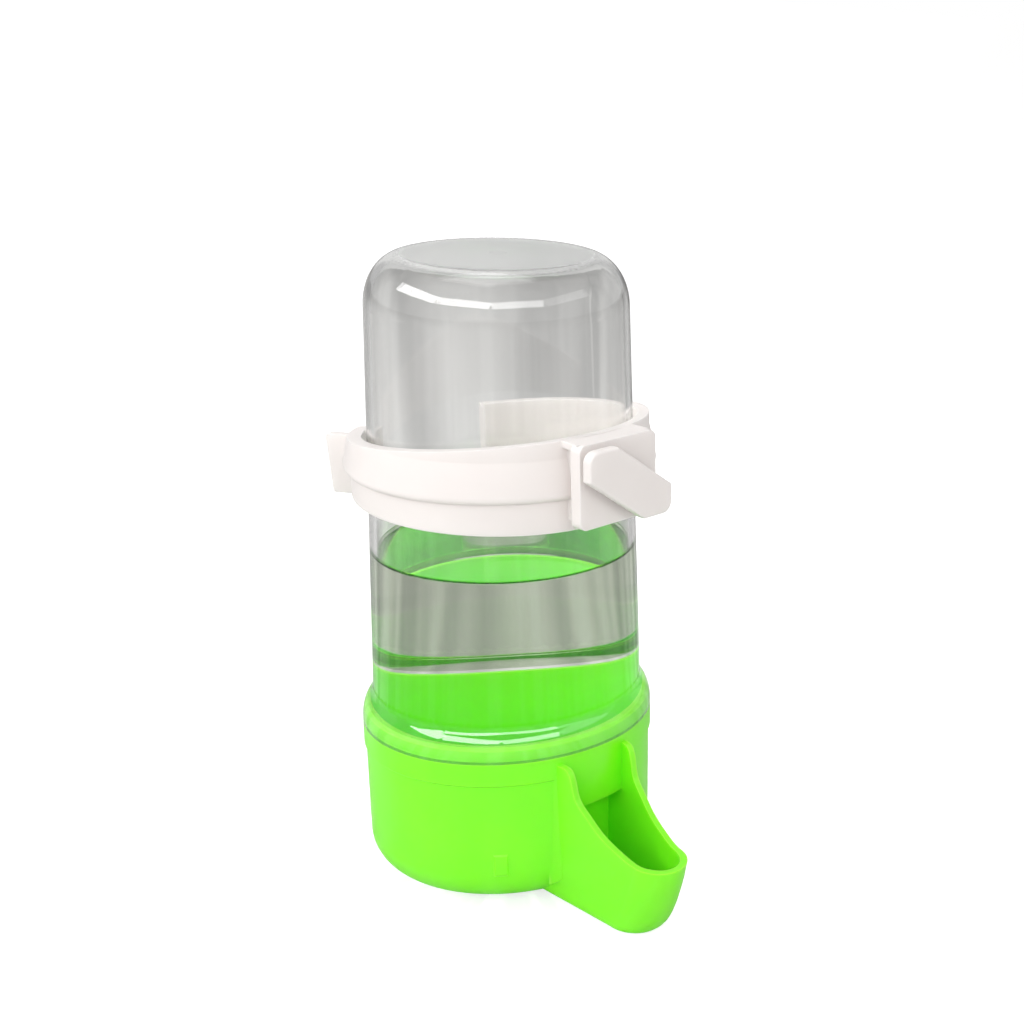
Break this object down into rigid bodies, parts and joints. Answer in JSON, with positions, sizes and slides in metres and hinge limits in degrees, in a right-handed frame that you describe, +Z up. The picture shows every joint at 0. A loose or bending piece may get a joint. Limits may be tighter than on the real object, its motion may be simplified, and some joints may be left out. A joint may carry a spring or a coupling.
{
  "type": "hanging gravity drinker",
  "caption": "Clear upside-down bottle on a green base cup with a drinking trough, held to a wire cage by an open clamp ring with a plate and a turn lever.",
  "frame": {"origin": "middle of the base cup's flat foot, on the bottle's axis", "axes": "+Z up along the bottle's axis; -Y from the bottle out through the clamp plate, towards the cage wires"},
  "size_m": [0.0704, 0.0989, 0.1528],
  "materials": {
    "clear_plastic": "clear, glossy",
    "green_plastic": "glossy, slightly translucent",
    "white_plastic": "satin gloss"
  },
  "bodies": {
    "clamp": {"clamp_ring": "white_plastic"},
    "bottle": {"bottle": "clear_plastic"},
    "base": {"base_cup": "green_plastic"},
    "lever": {"turn_lever": "white_plastic"}
  },
  "joints": [
    {"name": "bottle_slide", "type": "slide", "parent": "clamp", "child": "bottle", "axis": [0, 0, 1], "range_m": [-0.02, 0.025]},
    {"name": "base_pull", "type": "slide", "parent": "bottle", "child": "base", "axis": [0, 0, -1], "range_m": [0, 0.05]},
    {"name": "lever_turn", "type": "hinge", "parent": "clamp", "child": "lever", "pos_m": [0, -0.0389, 0.1035], "axis": [0, -1, 0], "continuous": true}
  ]
}
